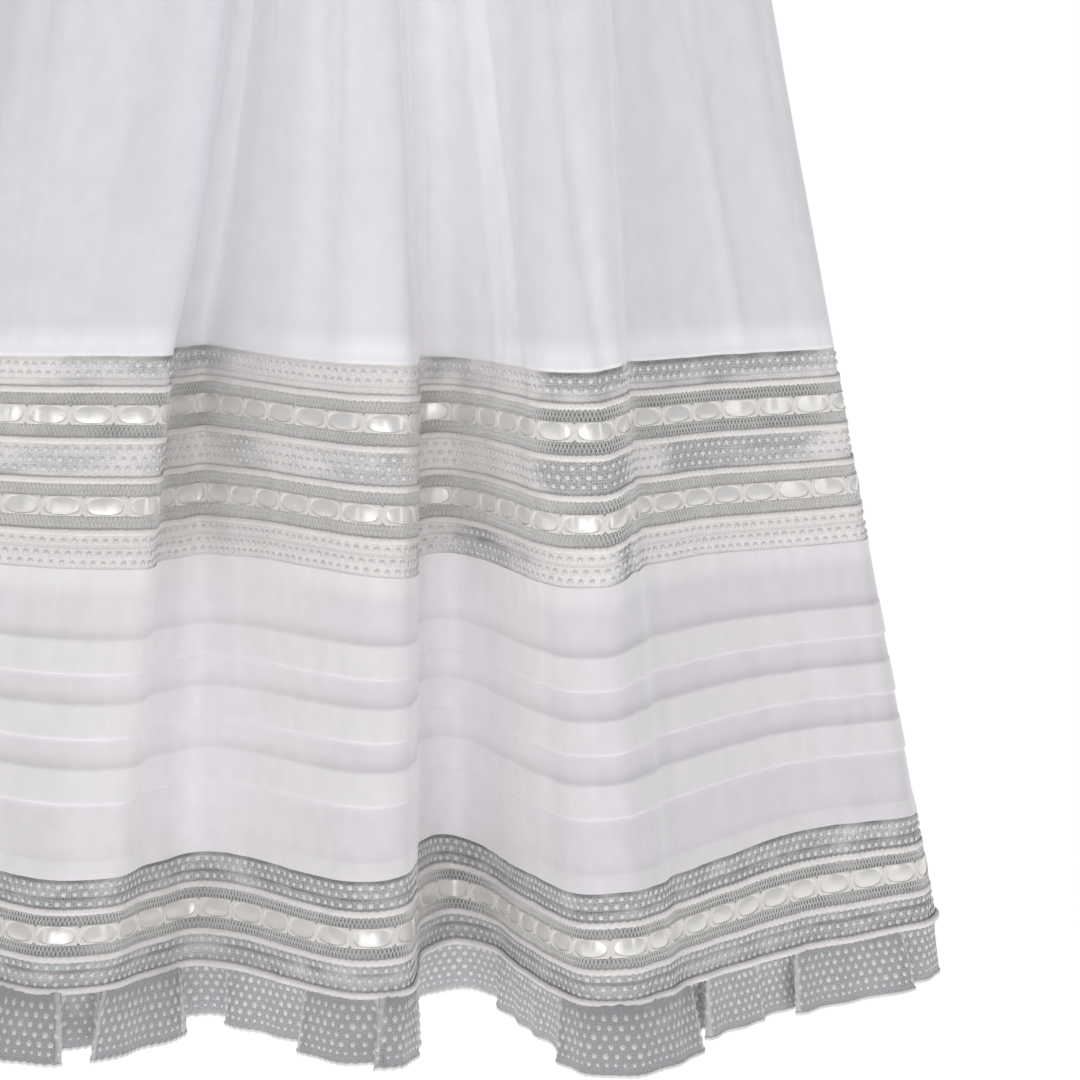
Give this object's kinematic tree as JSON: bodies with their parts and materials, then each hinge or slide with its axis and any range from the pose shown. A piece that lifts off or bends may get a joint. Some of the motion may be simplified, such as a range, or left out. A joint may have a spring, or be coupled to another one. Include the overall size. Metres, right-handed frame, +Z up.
{
  "type": "lace-trim dress",
  "caption": "Long white infant gown in worn form: plain sleeveless bodice, gathered skirt, lace bands threaded with satin ribbon, stitched tucks and a gathered lace ruffle at the hem.",
  "frame": {"origin": "midway between the two shoulder seams, where the wearer's shoulders hold the gown up", "axes": "+Z up along the gown's length, the front faces -Y, +X is to the right seen from the front"},
  "size_m": [0.4768, 0.3455, 0.8966],
  "materials": {
    "batiste": "fine plain cotton weave, soft and slightly sheer",
    "lace": "dotted cotton net with raised cords",
    "ribbon": "glossy satin",
    "button": "polished"
  },
  "bodies": {
    "root": {"bodice_front": "batiste", "bodice_back_left": "batiste", "bodice_back_right": "batiste", "button_1": "button", "button_2": "button", "button_3": "button", "skirt_front": "batiste", "skirt_back": "batiste", "upper_lace_front": "lace", "upper_lace_back": "lace", "tuck_panel_front": "batiste", "tuck_panel_back": "batiste", "lower_lace_front": "lace", "lower_lace_back": "lace", "hem_ruffle_front": "lace", "hem_ruffle_back": "lace", "ribbon_upper_1": "ribbon", "ribbon_upper_2": "ribbon", "ribbon_lower": "ribbon"}
  },
  "joints": []
}
